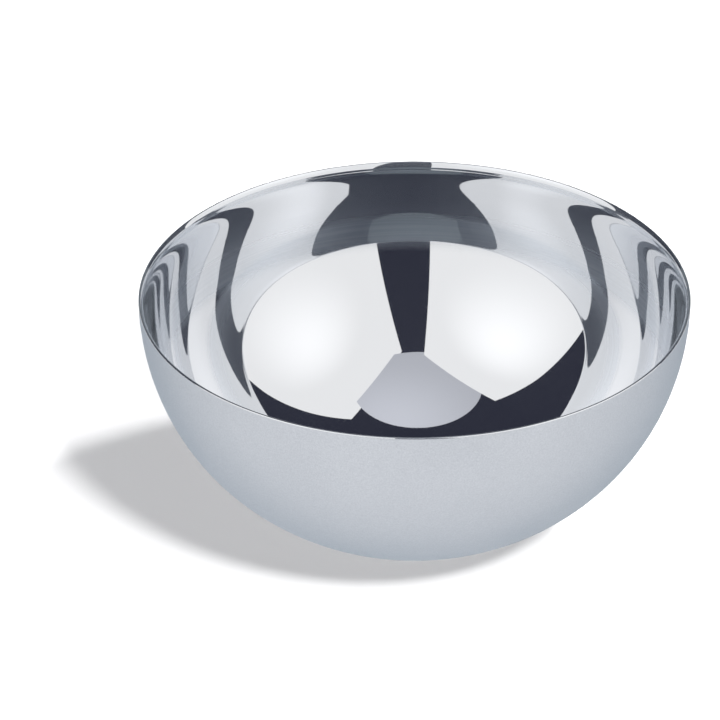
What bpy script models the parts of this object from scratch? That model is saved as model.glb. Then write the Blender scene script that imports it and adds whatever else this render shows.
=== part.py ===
"""Shaving bowl: one round sheet of stainless steel, pressed into a deep round bowl that is open at the top.

Units are metres and +Z is up. The bowl stands on Z = 0 with its axis on the Z axis.
The outside is half of a slightly squared ellipse turned about the axis, cut flat at the foot. The inside runs
follows it one sheet thickness in. The sheet is thicker in the bottom, since pressing stretches the wall.
Just under the lip the inside opens out a little, where polishing has worn it. At the rim the sheet ends in a
narrow lip: a blunt outer edge, a small rounded crest and a slightly hollow bevel down to the inside.
"""

import math

import bpy

# Driving dimensions
RIM_RADIUS = 0.0525  # from the axis to the outside of the rim
HEIGHT = 0.0475  # from the foot to the top of the rim
SHEET = 0.0013  # thickness of the steel in the upper wall
BOTTOM_SHEET = 0.0017  # thickness of the steel in the bottom
THIN_ABOVE = 0.0157  # down to this drop below the rim the steel is SHEET thick
THICK_BELOW = 0.0368  # from this drop on it is BOTTOM_SHEET thick
FULL_DEPTH = 0.0503  # how deep the outside would be if it weren't flat at the foot
SQUARENESS = 2.08  # the exponent of the outline: 2 is a plain ellipse, and more is fuller at the shoulder
FOOT_BEND = 0.0060  # outside radius of the bend between the flat foot and the round wall
LIP_BLUNT = 0.00030  # radius of the lip's outer edge
LIP_ROUND = 0.00020  # radius of the crest's inner side
LIP_BREAK = math.radians(42)  # how far the crest's rounding still faces up where the bevel begins
LIP_DEPTH = 0.0013  # how far below the rim the bevel meets the inside wall
FLARE = 0.00032  # how much the inside wall is worn back where it meets the bevel
FLARE_REACH = 0.00115  # the drop over which the wear fades to about a third

# How finely the round shapes are divided
TURN_STEPS = 64
WALL_STEPS = 13
FLARE_STEPS = 6
BEND_STEPS = 3
BEVEL_STEPS = 4
ROUND_STEPS = 3

STEEL_COLOUR = (0.60, 0.63, 0.67, 1.0)
STEEL_ROUGHNESS = 0.32
SAME_POINT = 1e-6  # points closer than this are one point

QUARTER_TURN = math.pi / 2


def clear_scene():
    for obj in list(bpy.data.objects):
        bpy.data.objects.remove(obj)


def steel_material():
    material = bpy.data.materials.new("stainless_steel")
    material.use_nodes = True
    shader = material.node_tree.nodes["Principled BSDF"]
    shader.inputs["Base Color"].default_value = STEEL_COLOUR
    shader.inputs["Metallic"].default_value = 1.0
    shader.inputs["Roughness"].default_value = STEEL_ROUGHNESS
    return material


def steps(start, end, count):
    """count + 1 even values from start to end."""
    return [start + (end - start) * i / count for i in range(count + 1)]


def wall_point(angle, inwards=0.0):
    """(radius, height) on the wall, at this angle below the rim and this far in from the outside face.

    The outside face is (radius / RIM_RADIUS) ** SQUARENESS + (drop / FULL_DEPTH) ** SQUARENESS = 1.
    """
    share_across = math.cos(angle) ** (2 / SQUARENESS)
    share_down = math.sin(angle) ** (2 / SQUARENESS)
    across = share_across ** (SQUARENESS - 1) / RIM_RADIUS
    down = share_down ** (SQUARENESS - 1) / FULL_DEPTH
    length = math.hypot(across, down)
    radius = RIM_RADIUS * share_across - inwards * across / length
    height = HEIGHT - FULL_DEPTH * share_down + inwards * down / length
    return radius, height


def angle_at(drop):
    """The angle of the point on the outside face that is this far below the rim."""
    return math.asin((drop / FULL_DEPTH) ** (SQUARENESS / 2))


def thickness_at(drop):
    """The steel's thickness beside the outside face's point at this drop below the rim."""
    share = (drop - THIN_ABOVE) / (THICK_BELOW - THIN_ABOVE)
    share = min(max(share, 0.0), 1.0)
    return SHEET + (BOTTOM_SHEET - SHEET) * share ** 2 * (3 - 2 * share)


def inside_point(angle):
    """(radius, height) on the inside wall, square in from the outside face's point at this angle."""
    drop = FULL_DEPTH * math.sin(angle) ** (2 / SQUARENESS)
    radius, height = wall_point(angle, thickness_at(drop))
    return radius + FLARE * math.exp((LIP_DEPTH - drop) / FLARE_REACH), height


def foot_angle():
    """Where the wall meets the foot's bend: FOOT_BEND in from the wall is then FOOT_BEND above the foot."""
    low, high = 0.0, QUARTER_TURN
    for _ in range(60):
        middle = (low + high) / 2
        if wall_point(middle, FOOT_BEND)[1] > FOOT_BEND:
            low = middle
        else:
            high = middle
    return low


def bend_points(foot, inwards):
    """The foot's bend from the wall down to the flat, for the face that lies this far in from the outside."""
    centre_radius, centre_height = wall_point(foot, FOOT_BEND)
    wall_radius, wall_height = wall_point(foot)
    tilt = math.atan2(centre_height - wall_height, wall_radius - centre_radius)
    radius = FOOT_BEND - inwards
    return [
        (centre_radius + radius * math.cos(a), centre_height - radius * math.sin(a))
        for a in steps(tilt, QUARTER_TURN, BEND_STEPS)
    ]


def arc_between(start, end, start_tilt, count):
    """The arc from start down to end, on the inside; start_tilt is how far its face tilts up at start."""
    across = start[0] - end[0]
    down = start[1] - end[1]
    end_tilt = 2 * math.atan2(across, down) - start_tilt
    radius = math.hypot(across, down) / (2 * math.sin((start_tilt - end_tilt) / 2))
    centre_radius = start[0] + radius * math.cos(start_tilt)
    centre_height = start[1] - radius * math.sin(start_tilt)
    return [
        (centre_radius - radius * math.cos(a), centre_height + radius * math.sin(a))
        for a in steps(start_tilt, end_tilt, count)
    ]


def lip_points():
    """The lip from the inside wall up the bevel, over the crest and round the outer edge."""
    crest = RIM_RADIUS - LIP_BLUNT
    outer_radius, _ = wall_point(angle_at(LIP_BLUNT))
    inner_side = [
        (crest - LIP_ROUND * math.cos(a), HEIGHT - LIP_ROUND * (1 - math.sin(a)))
        for a in steps(LIP_BREAK, QUARTER_TURN, ROUND_STEPS)
    ]
    outer_side = [
        (crest + (outer_radius - crest) * math.sin(a), HEIGHT - LIP_BLUNT * (1 - math.cos(a)))
        for a in steps(0.0, QUARTER_TURN, ROUND_STEPS)
    ]
    bevel = arc_between(inner_side[0], inside_point(angle_at(LIP_DEPTH)), LIP_BREAK, BEVEL_STEPS)
    return bevel[::-1] + inner_side[1:] + outer_side[1:]


def inside_points(foot):
    """The inside wall from the lip's bevel down to the foot's bend, closely divided where it flares."""
    flare_end = 5 * FLARE_REACH
    drops = [LIP_DEPTH + flare_end * share ** 2 for share in steps(0.0, 1.0, FLARE_STEPS)]
    flare = [inside_point(angle_at(drop)) for drop in drops]
    below = [inside_point(angle) for angle in steps(angle_at(drops[-1]), foot, WALL_STEPS)]
    return flare + below[1:]


def bowl_profile():
    """(radius, height) from the middle of the inside floor, over the lip and down to the foot."""
    foot = foot_angle()
    outside = [wall_point(a) for a in steps(angle_at(LIP_BLUNT), foot, WALL_STEPS)]
    inside = inside_points(foot)
    return (
        [(0.0, BOTTOM_SHEET)]
        + bend_points(foot, BOTTOM_SHEET)[::-1]
        + inside[::-1][1:-1]
        + lip_points()
        + outside[1:]
        + bend_points(foot, 0.0)[1:]
        + [(0.0, 0.0)]
    )


def turned_object(name, profile, collection):
    """The profile as a chain of edges, turned once about Z by a Screw modifier."""
    mesh = bpy.data.meshes.new(name)
    points = [(radius, 0.0, height) for radius, height in profile]
    mesh.from_pydata(points, [(i, i + 1) for i in range(len(points) - 1)], [])
    obj = bpy.data.objects.new(name, mesh)
    collection.objects.link(obj)
    turn = obj.modifiers.new("turn", "SCREW")
    turn.axis = "Z"
    turn.angle = 2 * math.pi
    turn.steps = TURN_STEPS
    turn.render_steps = TURN_STEPS
    turn.use_merge_vertices = True
    turn.merge_threshold = SAME_POINT
    turn.use_smooth_shade = True
    return obj


def main():
    clear_scene()
    collection = bpy.data.collections.new("shaving_bowl")
    bpy.context.scene.collection.children.link(collection)
    bowl = turned_object("bowl_shell", bowl_profile(), collection)
    bowl.data.materials.append(steel_material())


main()
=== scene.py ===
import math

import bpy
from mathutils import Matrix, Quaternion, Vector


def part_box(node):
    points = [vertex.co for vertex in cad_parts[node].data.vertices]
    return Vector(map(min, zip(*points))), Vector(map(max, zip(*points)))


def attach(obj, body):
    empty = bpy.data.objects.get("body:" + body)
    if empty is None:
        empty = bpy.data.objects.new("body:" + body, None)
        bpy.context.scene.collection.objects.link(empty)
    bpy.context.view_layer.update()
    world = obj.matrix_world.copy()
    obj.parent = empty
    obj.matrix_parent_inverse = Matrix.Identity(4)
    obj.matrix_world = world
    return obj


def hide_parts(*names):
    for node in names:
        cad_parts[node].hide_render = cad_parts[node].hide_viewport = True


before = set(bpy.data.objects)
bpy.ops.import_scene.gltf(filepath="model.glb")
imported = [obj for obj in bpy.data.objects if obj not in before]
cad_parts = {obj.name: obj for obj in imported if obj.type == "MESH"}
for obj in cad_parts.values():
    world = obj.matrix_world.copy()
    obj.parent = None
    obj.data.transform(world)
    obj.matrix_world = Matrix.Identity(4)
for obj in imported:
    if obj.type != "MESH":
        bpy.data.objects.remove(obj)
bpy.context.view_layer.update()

# Looks for a shaving bowl: one pressed steel bowl, polished inside and on the lip, satin outside.
# It stands on a pale floor between two white panels, under a grey ceiling. Metres, +Z up, and the camera
# looks along +Y. The panels, the ceiling and the board behind are seen only as reflections in the steel.

SHELL_LOW, SHELL_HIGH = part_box("bowl_shell")

# The bowl's section, as the CAD has it.
RIM_RADIUS = (SHELL_HIGH.x - SHELL_LOW.x) / 2
HEIGHT = SHELL_HIGH.z
SHEET = 0.0013  # the steel's thickness in the upper wall
BOTTOM_SHEET = 0.0017  # and in the bottom
THIN_ABOVE = 0.0157  # down to this drop below the rim it is SHEET
THICK_BELOW = 0.0368  # and from this drop on BOTTOM_SHEET
FULL_DEPTH = 0.0503  # how deep the outside would be without its flat foot
SQUARENESS = 2.08  # the exponent of the outline: 2 is a plain ellipse
FOOT_BEND = 0.0060  # outside radius of the bend round the foot
LIP_DEPTH = 0.0013  # how far below the rim the bevel meets the inside wall
LIP_BLUNT = 0.00030  # radius of the lip's outer edge
LIP_ROUND = 0.00020  # radius of the crest's inner side
LIP_BREAK = math.radians(42)  # how far the crest still faces up where the bevel begins
FLARE = 0.00032  # how much the inside wall is worn back at the bevel
FLARE_REACH = 0.00115  # the drop over which that fades to about a third

# How finely the section is divided. SATIN_LIP_STEPS of the blunt edge's BLUNT_STEPS are satin.
TURN_STEPS = 256
WALL_STEPS = 98
FLARE_STEPS = 48
BEND_STEPS = 24
LIP_STEPS = 12
BLUNT_STEPS = 8
SATIN_LIP_STEPS = 2
FLAT_STEPS = 24

POLISHED, SATIN = 0, 1  # places of the two materials on the mesh
POLISHED_COLOUR = (0.845, 0.855, 0.875, 1)
HAZE_COLOUR = (0.83, 0.91, 1.0, 1)
SATIN_DARK = (0.56, 0.585, 0.63, 1)
SATIN_LIGHT = (0.63, 0.655, 0.70, 1)
SATIN_EDGE = (0.40, 0.47, 0.53, 1)


# ---------------------------------------------------------------- section


def steps(first, last, count):
    """The count + 1 even steps from first to last."""
    return [first + (last - first) * i / count for i in range(count + 1)]


def wall_point(angle, inwards=0.0):
    """(radius, height) on the wall: angle 0 is the rim, and inwards is the distance from the outside."""
    share_across = math.cos(angle) ** (2 / SQUARENESS)
    share_down = math.sin(angle) ** (2 / SQUARENESS)
    across = share_across ** (SQUARENESS - 1) / RIM_RADIUS
    down = share_down ** (SQUARENESS - 1) / FULL_DEPTH
    length = math.hypot(across, down)
    radius = RIM_RADIUS * share_across - inwards * across / length
    height = HEIGHT - FULL_DEPTH * share_down + inwards * down / length
    return radius, height


def angle_at(drop):
    """The angle of the point on the outside that is this far below the rim."""
    return math.asin((drop / FULL_DEPTH) ** (SQUARENESS / 2))


def thickness_at(drop):
    """The steel's thickness beside the outside's point at this drop below the rim."""
    share = (drop - THIN_ABOVE) / (THICK_BELOW - THIN_ABOVE)
    share = min(max(share, 0.0), 1.0)
    return SHEET + (BOTTOM_SHEET - SHEET) * share ** 2 * (3 - 2 * share)


def inside_point(angle):
    """A point of the inside, which opens out near the lip, square in from the outside's point at angle."""
    drop = FULL_DEPTH * math.sin(angle) ** (2 / SQUARENESS)
    radius, height = wall_point(angle, thickness_at(drop))
    return radius + FLARE * math.exp((LIP_DEPTH - drop) / FLARE_REACH), height


def foot_angle():
    """Where the wall ends and the bend to the flat foot begins."""
    low, high = 0.0, math.pi / 2
    for _ in range(60):
        middle = (low + high) / 2
        if wall_point(middle, FOOT_BEND)[1] > FOOT_BEND:
            low = middle
        else:
            high = middle
    return low


def bend_points(foot, inwards):
    """The bend from the wall to the flat, this far inwards of the outside."""
    centre_radius, centre_height = wall_point(foot, FOOT_BEND)
    wall_radius, wall_height = wall_point(foot)
    tilt = math.atan2(centre_height - wall_height, wall_radius - centre_radius)
    reach = FOOT_BEND - inwards
    return [
        (centre_radius + reach * math.cos(a), centre_height - reach * math.sin(a))
        for a in steps(tilt, math.pi / 2, BEND_STEPS)
    ]


def arc_between(start, end, start_tilt, count):
    """Points of the arc from start to end whose normal at start has start_tilt above the level."""
    across, down = start[0] - end[0], start[1] - end[1]
    chord_tilt = math.atan2(across, down)
    end_tilt = 2 * chord_tilt - start_tilt
    reach = math.hypot(across, down) / (2 * math.sin((start_tilt - end_tilt) / 2))
    centre = (start[0] + reach * math.cos(start_tilt), start[1] - reach * math.sin(start_tilt))
    return [
        (centre[0] - reach * math.cos(a), centre[1] + reach * math.sin(a))
        for a in steps(start_tilt, end_tilt, count)
    ]


def lip_points():
    """From the outside wall over the crest and down the bevel to the inside wall."""
    outer_radius, _ = wall_point(angle_at(LIP_BLUNT))
    crest = RIM_RADIUS - LIP_BLUNT
    inner = inside_point(angle_at(LIP_DEPTH))
    outside = [
        (crest + (outer_radius - crest) * math.cos(a), HEIGHT - LIP_BLUNT * (1 - math.sin(a)))
        for a in steps(0, math.pi / 2, BLUNT_STEPS)
    ]
    top = [
        (crest - LIP_ROUND * math.cos(a), HEIGHT - LIP_ROUND * (1 - math.sin(a)))
        for a in steps(math.pi / 2, LIP_BREAK, BLUNT_STEPS)
    ]
    return outside + top[1:] + arc_between(top[-1], inner, LIP_BREAK, LIP_STEPS)[1:]


def bowl_section():
    """(points from the foot's centre round to the inside floor's centre, finish of each stretch)."""
    foot = foot_angle()
    outside_top = angle_at(LIP_BLUNT)
    flare_end = LIP_DEPTH + 6 * FLARE_REACH  # the opening out has died away here
    outer_bend, inner_bend = bend_points(foot, 0.0), bend_points(foot, BOTTOM_SHEET)
    flat_out = [(r, 0.0) for r in steps(0.0, outer_bend[-1][0], FLAT_STEPS)]
    flat_in = [(r, BOTTOM_SHEET) for r in steps(inner_bend[-1][0], 0.0, FLAT_STEPS)]
    outside = [wall_point(a) for a in steps(foot, outside_top, WALL_STEPS)]
    inside = [inside_point(angle_at(d)) for d in steps(LIP_DEPTH, flare_end, FLARE_STEPS)]
    inside += [inside_point(a) for a in steps(angle_at(flare_end), foot, WALL_STEPS)][1:]
    satin = flat_out + outer_bend[::-1][1:] + outside[1:]
    polished = lip_points()[1:] + inside[1:] + inner_bend[1:] + flat_in[1:]
    satin_count = len(satin) - 1 + SATIN_LIP_STEPS
    finishes = [SATIN] * satin_count + [POLISHED] * (len(satin) + len(polished) - 1 - satin_count)
    return satin + polished, finishes


def turned_mesh(name, section, finishes):
    """One closed surface, faces outwards, with a single point where the section meets the axis."""
    ring = section[1:-1]
    turns = [2 * math.pi * i / TURN_STEPS for i in range(TURN_STEPS)]
    points = [(r * math.cos(a), r * math.sin(a), h) for r, h in ring for a in turns]
    points += [(0, 0, section[0][1]), (0, 0, section[-1][1])]
    first_pole, last_pole = len(points) - 2, len(points) - 1
    faces, slots = [], []
    for i in range(TURN_STEPS):
        j = (i + 1) % TURN_STEPS
        faces.append((first_pole, j, i))
        slots.append(finishes[0])
        for k in range(len(ring) - 1):
            a, b = k * TURN_STEPS, (k + 1) * TURN_STEPS
            faces.append((a + i, a + j, b + j, b + i))
            slots.append(finishes[k + 1])
        last = (len(ring) - 1) * TURN_STEPS
        faces.append((last + i, last + j, last_pole))
        slots.append(finishes[-1])
    mesh = bpy.data.meshes.new(name)
    mesh.from_pydata(points, [], faces)
    mesh.polygons.foreach_set("material_index", slots)
    mesh.shade_smooth()
    mesh.update()
    return mesh


# ---------------------------------------------------------------- materials


class Nodes:
    """A few short ways to build a node tree."""

    def __init__(self, name):
        self.material = bpy.data.materials.new(name)
        self.material.use_nodes = True
        self.tree = self.material.node_tree
        self.tree.nodes.clear()
        self.output = self.add("ShaderNodeOutputMaterial")

    def add(self, kind, **settings):
        node = self.tree.nodes.new(kind)
        for key, value in settings.items():
            setattr(node, key, value)
        return node

    def link(self, source, target):
        self.tree.links.new(source, target)

    def math(self, operation, *values):
        node = self.add("ShaderNodeMath", operation=operation)
        for socket, value in zip(node.inputs, values):
            self.feed(socket, value)
        return node.outputs[0]

    def feed(self, socket, value):
        if isinstance(value, (int, float, tuple)):
            socket.default_value = value
        else:
            self.link(value, socket)

    def ramp(self, value, low, high, to_low, to_high):
        node = self.add("ShaderNodeMapRange", interpolation_type="SMOOTHSTEP", clamp=True)
        for socket, number in zip(node.inputs, (value, low, high, to_low, to_high)):
            self.feed(socket, number)
        return node.outputs[0]

    def noise(self, vector, scale, detail, roughness):
        node = self.add("ShaderNodeTexNoise", noise_dimensions="3D")
        self.link(vector, node.inputs["Vector"])
        node.inputs["Scale"].default_value = scale
        node.inputs["Detail"].default_value = detail
        node.inputs["Roughness"].default_value = roughness
        return node.outputs["Fac"]


def round_lines(nodes, turns_share, across):
    """(texture space whose lines run round the bowl, height): fine down the wall, slow round the axis."""
    place = nodes.add("ShaderNodeTexCoord").outputs["Object"]
    split = nodes.add("ShaderNodeSeparateXYZ")
    nodes.link(place, split.inputs[0])
    x, y, z = split.outputs
    squares = nodes.math("ADD", nodes.math("MULTIPLY", x, x), nodes.math("MULTIPLY", y, y))
    radius = nodes.math("SQRT", squares)
    safe = nodes.math("MAXIMUM", radius, 1e-5)
    along = nodes.math("ADD", radius, z)
    join = nodes.add("ShaderNodeCombineXYZ")
    nodes.feed(join.inputs[0], nodes.math("MULTIPLY", nodes.math("DIVIDE", x, safe), turns_share))
    nodes.feed(join.inputs[1], nodes.math("MULTIPLY", nodes.math("DIVIDE", y, safe), turns_share))
    nodes.feed(join.inputs[2], nodes.math("MULTIPLY", along, across))
    return join.outputs[0], z


def polished_steel():
    """Mirror, with a hazed band under the lip where the polishing lines spread what it shows up and down."""
    nodes = Nodes("steel_polished")
    fine, z = round_lines(nodes, 1.6, 2600.0)
    streaks = nodes.noise(fine, 1.0, 3.0, 0.6)
    broad, _ = round_lines(nodes, 0.8, 420.0)
    bands = nodes.noise(broad, 1.0, 2.0, 0.5)
    mirror = nodes.add("ShaderNodeBsdfPrincipled")
    mirror.inputs["Base Color"].default_value = POLISHED_COLOUR
    mirror.inputs["Metallic"].default_value = 1.0
    nodes.link(nodes.ramp(streaks, 0.45, 0.8, 0.02, 0.045), mirror.inputs["Roughness"])
    brushed = nodes.add("ShaderNodeBsdfPrincipled")
    brushed.inputs["Base Color"].default_value = HAZE_COLOUR
    brushed.inputs["Metallic"].default_value = 1.0
    brushed.inputs["Roughness"].default_value = 0.30
    brushed.inputs["Anisotropic"].default_value = 1.0
    tangent = nodes.add("ShaderNodeTangent", direction_type="RADIAL", axis="Z")
    nodes.link(tangent.outputs[0], brushed.inputs["Tangent"])
    start = nodes.ramp(z, HEIGHT - 0.36 * RIM_RADIUS, HEIGHT - 0.30 * RIM_RADIUS, 0.01, 0.31)
    fade = nodes.ramp(z, HEIGHT - 0.32 * RIM_RADIUS, HEIGHT - 0.08 * RIM_RADIUS, 1.0, 0.42)
    lines = nodes.math("ADD", streaks, nodes.math("MULTIPLY", bands, 0.5))
    worked = nodes.math("MULTIPLY", start, fade)
    worked = nodes.math("MULTIPLY", worked, nodes.ramp(lines, 0.55, 0.95, 0.93, 1.07))
    mix = nodes.add("ShaderNodeMixShader")
    nodes.link(worked, mix.inputs[0])
    nodes.link(mirror.outputs[0], mix.inputs[1])
    nodes.link(brushed.outputs[0], mix.inputs[2])
    nodes.link(mix.outputs[0], nodes.output.inputs[0])
    return nodes.material


def satin_steel():
    """Even fine satin with a faint grain."""
    nodes = Nodes("steel_satin")
    place = nodes.add("ShaderNodeTexCoord").outputs["Object"]
    grain = nodes.noise(place, 3200.0, 3.0, 0.6)
    cloud = nodes.noise(place, 60.0, 3.0, 0.5)
    body = nodes.add("ShaderNodeBsdfPrincipled")
    speckle = nodes.add("ShaderNodeMix", data_type="RGBA")
    nodes.link(nodes.ramp(grain, 0.3, 0.7, 0.0, 1.0), speckle.inputs["Factor"])
    speckle.inputs[6].default_value = SATIN_DARK  # colour A
    speckle.inputs[7].default_value = SATIN_LIGHT  # colour B
    nodes.link(speckle.outputs[2], body.inputs["Base Color"])
    body.inputs["Specular Tint"].default_value = SATIN_EDGE
    body.inputs["Metallic"].default_value = 1.0
    rough = nodes.math("ADD", cloud, nodes.math("MULTIPLY", grain, 0.5))
    nodes.link(nodes.ramp(rough, 0.5, 1.0, 0.40, 0.50), body.inputs["Roughness"])
    bump = nodes.add("ShaderNodeBump")
    bump.inputs["Strength"].default_value = 0.8
    bump.inputs["Distance"].default_value = 0.0001
    nodes.link(grain, bump.inputs["Height"])
    nodes.link(bump.outputs[0], body.inputs["Normal"])
    nodes.link(body.outputs[0], nodes.output.inputs[0])
    return nodes.material


def emitter(name, colour, middle, edge, centre, reach):
    """A glowing sheet, at strength middle near the point centre and at strength edge from reach away."""
    nodes = Nodes(name)
    place = nodes.add("ShaderNodeTexCoord").outputs["Object"]
    away = nodes.add("ShaderNodeVectorMath", operation="DISTANCE")
    nodes.link(place, away.inputs[0])
    away.inputs[1].default_value = centre
    light = nodes.add("ShaderNodeEmission")
    light.inputs[0].default_value = (*colour, 1)
    nodes.link(nodes.ramp(away.outputs["Value"], 0.0, reach, middle, edge), light.inputs[1])
    nodes.link(light.outputs[0], nodes.output.inputs[0])
    return nodes.material


def plain_glow(name, colour, strength):
    """A sheet that glows evenly."""
    nodes = Nodes(name)
    light = nodes.add("ShaderNodeEmission")
    light.inputs[0].default_value = (*colour, 1)
    light.inputs[1].default_value = strength
    nodes.link(light.outputs[0], nodes.output.inputs[0])
    return nodes.material


def paper(name, colour):
    """Matt paper for the floor."""
    nodes = Nodes(name)
    place = nodes.add("ShaderNodeTexCoord").outputs["Object"]
    body = nodes.add("ShaderNodeBsdfPrincipled")
    body.inputs["Base Color"].default_value = (*colour, 1)
    nodes.link(nodes.ramp(nodes.noise(place, 900.0, 2.0, 0.5), 0.3, 0.7, 0.75, 0.9), body.inputs["Roughness"])
    body.inputs["Specular IOR Level"].default_value = 0.0
    nodes.link(body.outputs[0], nodes.output.inputs[0])
    return nodes.material


# ---------------------------------------------------------------- studio

RIM_CENTRE = Vector((0, 0, HEIGHT))
PANEL_REACH = 1.6  # from the bowl's axis to the two white panels
LEFT_FACING, RIGHT_FACING = -128.5, 113  # the azimuths that they stand square to, in degrees
BOARD_REACH = 2.0
CEILING_HEIGHT = 5.0
BACKDROP_REACH = 5.5
BACKDROP_TOP = 4.0
CARD_INNER, CARD_REACH = 0.42 * RIM_RADIUS, 1.2  # the floor card's inner and outer radius
CARD_RISE = 0.0003  # its height over the floor
FLOOR_HALF = 6.0
WHITE = (1.0, 1.0, 1.0)

# Corners as (azimuth, elevation) seen from the middle of the rim, in degrees.
LEFT_CORNERS = [(-173.2, -0.9), (-88.9, -0.9), (-77.9, 60.3), (-170, 65.5)]
RIGHT_CORNERS = [(71.4, -0.9), (162.6, -0.9), (168.7, 63.6), (57.4, 65.3)]
BOARD_CORNERS = [(-41, 1), (41, 1), (36, 35), (25, 40), (-25, 40), (-36, 35)]

LENS, SENSOR = 151.5, 36.0  # focal length and film width, in millimetres
CAMERA_ELEVATION = math.radians(30.04)
CAMERA_ROLL = math.radians(-0.48)
CAMERA_DISTANCE = 11.0 * RIM_RADIUS
AIM_LEFT, AIM_DOWN = 0.196 * RIM_RADIUS, 0.2585 * RIM_RADIUS  # the picture's middle, from the rim's centre


def link(thing):
    bpy.context.scene.collection.objects.link(thing)
    return thing


def level_direction(azimuth):
    """Level unit direction: azimuth 0 is away from the camera and 90 is to its right, in degrees."""
    return Vector((math.sin(math.radians(azimuth)), math.cos(math.radians(azimuth)), 0))


def point_at(azimuth, elevation, facing, reach):
    """Where the sight line from the rim's centre meets the upright plane at azimuth facing."""
    out = reach / math.cos(math.radians(azimuth - facing))
    rise = Vector((0, 0, out * math.tan(math.radians(elevation))))
    return RIM_CENTRE + level_direction(azimuth) * out + rise


def stage_mesh(name, points, faces, material):
    """A piece of the studio that casts no shadow and throws no light on the floor."""
    mesh = bpy.data.meshes.new(name)
    mesh.from_pydata([tuple(p) for p in points], [], faces)
    mesh.materials.append(material)
    piece = link(bpy.data.objects.new(name, mesh))
    piece.visible_shadow = False
    piece.visible_diffuse = False
    return piece


def upright_panel(name, facing, corners, reach, material):
    """A panel in the upright plane that stands square to azimuth facing. The camera doesn't see it."""
    points = [point_at(azimuth, elevation, facing, reach) for azimuth, elevation in corners]
    stage_mesh(name, points, [tuple(range(len(points)))], material).visible_camera = False


def oval_ceiling(name, centre, half_width, half_depth, height, material):
    """A level oval; centre and half sizes are shares of its height over the rim."""
    middle = RIM_CENTRE + Vector((centre[0], centre[1], 1)) * height
    points = [
        middle + Vector((half_width * math.cos(a), half_depth * math.sin(a), 0)) * height
        for a in steps(0, 2 * math.pi, 72)[:-1]
    ]
    stage_mesh(name, points, [tuple(range(len(points)))], material).visible_camera = False


def between_rings(count):
    """The faces between two rings of points, of which the second follows the first."""
    return [(i, (i + 1) % count, count + (i + 1) % count, count + i) for i in range(count)]


def backdrop(material):
    """A pale wall all round, for low views. Only the camera sees it."""
    ring = [level_direction(a) * BACKDROP_REACH for a in steps(0, 360, 48)[:-1]]
    points = ring + [p + Vector((0, 0, BACKDROP_TOP)) for p in ring]
    stage_mesh("backdrop", points, between_rings(len(ring)), material).visible_glossy = False


def floor_card(material):
    """What the steel mirrors of the floor: a glowing ring just over it that the camera doesn't see."""
    ring = [level_direction(a) for a in steps(0, 360, 64)[:-1]]
    rise = Vector((0, 0, SHELL_LOW.z + CARD_RISE))
    points = [p * CARD_INNER + rise for p in ring] + [p * CARD_REACH + rise for p in ring]
    stage_mesh("floor_card", points, between_rings(len(ring)), material).visible_camera = False


def sun(name, direction, strength, width, casts_shadow):
    """A far round light that the steel doesn't mirror. width is its angle across, in degrees."""
    light = bpy.data.lights.new(name, "SUN")
    light.energy = strength
    light.angle = math.radians(width)
    light.use_shadow = casts_shadow
    lamp = link(bpy.data.objects.new(name, light))
    lamp.rotation_mode = "QUATERNION"
    lamp.rotation_quaternion = Vector(direction).to_track_quat("Z", "Y")
    lamp.visible_glossy = False


def mirrored_sheets():
    """The glowing sheets that the steel mirrors, and the backdrop."""
    left_spot = point_at(-118, 46, LEFT_FACING, PANEL_REACH)
    right_spot = point_at(110, 42, RIGHT_FACING, PANEL_REACH)
    white_left = emitter("panel_left_white", WHITE, 1.19, 0.94, left_spot, 1.6)
    white_right = emitter("panel_right_white", WHITE, 1.15, 0.93, right_spot, 1.4)
    back_edge = RIM_CENTRE + Vector((0.1, 0.2, 1)) * CEILING_HEIGHT
    grey = emitter("ceiling_grey", (0.90, 0.92, 1.0), 0.73, 0.55, back_edge, 3.4)
    board_foot = point_at(0, 1, 0, BOARD_REACH)
    board = emitter("board_grey", (0.80, 0.90, 1.0), 0.24, 0.16, board_foot, 2.2)
    backdrop_white = plain_glow("backdrop_white", WHITE, 1.0)
    floor_white = emitter("floor_card_white", WHITE, 1.10, 0.68, (0, -0.35, 0), 1.0)
    upright_panel("panel_left", LEFT_FACING, LEFT_CORNERS, PANEL_REACH, white_left)
    upright_panel("panel_right", RIGHT_FACING, RIGHT_CORNERS, PANEL_REACH, white_right)
    upright_panel("board_back", 0, BOARD_CORNERS, BOARD_REACH, board)
    oval_ceiling("ceiling", (-0.03, -0.113), 0.458, 0.368, CEILING_HEIGHT, grey)
    backdrop(backdrop_white)
    floor_card(floor_white)


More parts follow.
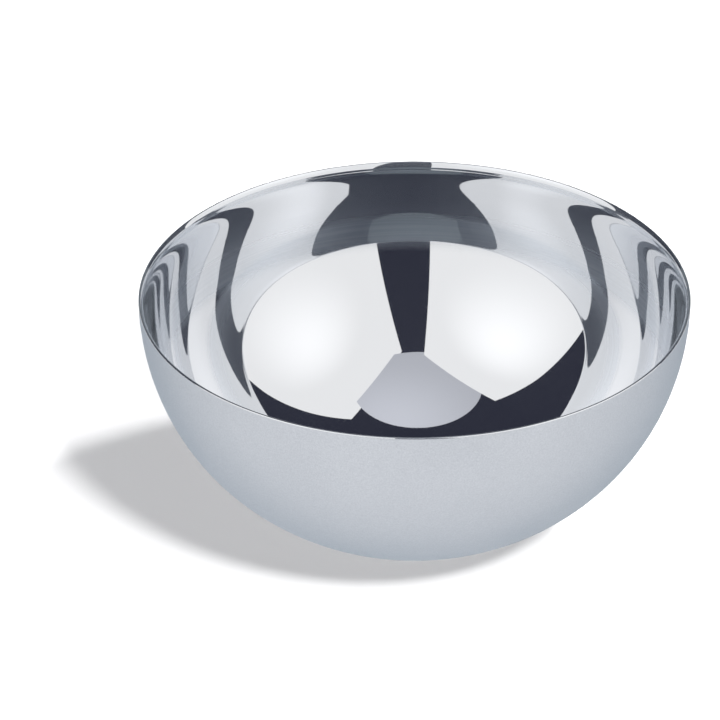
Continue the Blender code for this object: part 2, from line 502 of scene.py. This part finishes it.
def floor_lights():
    """Two suns and a fill. The fill with either sun makes the floor white, so only where both suns are
    blocked is it grey, which gives the shadow its point."""
    sun("key_front", (0.47, -0.68, 0.905), 2.7, 8, True)
    sun("key_back", (0.76, 0.49, 0.905), 2.8, 8, True)
    sun("fill", (0, 0, 1), 1.78, 20, False)


def floor():
    mesh = bpy.data.meshes.new("floor")
    corners = [(x * FLOOR_HALF, y * FLOOR_HALF, 0) for x, y in ((-1, -1), (1, -1), (1, 1), (-1, 1))]
    mesh.from_pydata(corners, [], [(0, 1, 2, 3)])
    mesh.materials.append(paper("floor_paper", (0.86, 0.86, 0.86)))
    ground = link(bpy.data.objects.new("floor", mesh))
    ground.location.z = SHELL_LOW.z


def surroundings():
    world = bpy.data.worlds.new("surroundings")
    world.use_nodes = True
    back = world.node_tree.nodes["Background"]
    back.inputs[0].default_value = (0.61, 0.65, 1.0, 1)
    back.inputs[1].default_value = 0.048
    bpy.context.scene.world = world


def camera():
    lens = bpy.data.cameras.new("camera")
    lens.lens = LENS
    lens.sensor_width = SENSOR
    lens.clip_end = 50.0
    body = link(bpy.data.objects.new("camera", lens))
    towards = Vector((0, -math.cos(CAMERA_ELEVATION), math.sin(CAMERA_ELEVATION)))
    up = Vector((0, math.sin(CAMERA_ELEVATION), math.cos(CAMERA_ELEVATION)))
    aim = RIM_CENTRE - Vector((AIM_LEFT, 0, 0)) - up * AIM_DOWN
    body.location = RIM_CENTRE + towards * CAMERA_DISTANCE
    body.rotation_mode = "QUATERNION"
    look = (aim - body.location).to_track_quat("-Z", "Y")
    body.rotation_quaternion = look @ Quaternion((0, 0, 1), CAMERA_ROLL)
    bpy.context.scene.camera = body


# ---------------------------------------------------------------- scene

camera()
section, finishes = bowl_section()
mesh = turned_mesh("bowl", section, finishes)
mesh.materials.append(polished_steel())
mesh.materials.append(satin_steel())
bowl = link(bpy.data.objects.new("bowl", mesh))
bowl.visible_diffuse = False  # its glow on the floor would lighten its own shadow
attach(bowl, "root")
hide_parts("bowl_shell")
floor()
mirrored_sheets()
floor_lights()
surroundings()
bpy.context.scene.view_settings.view_transform = "Standard"
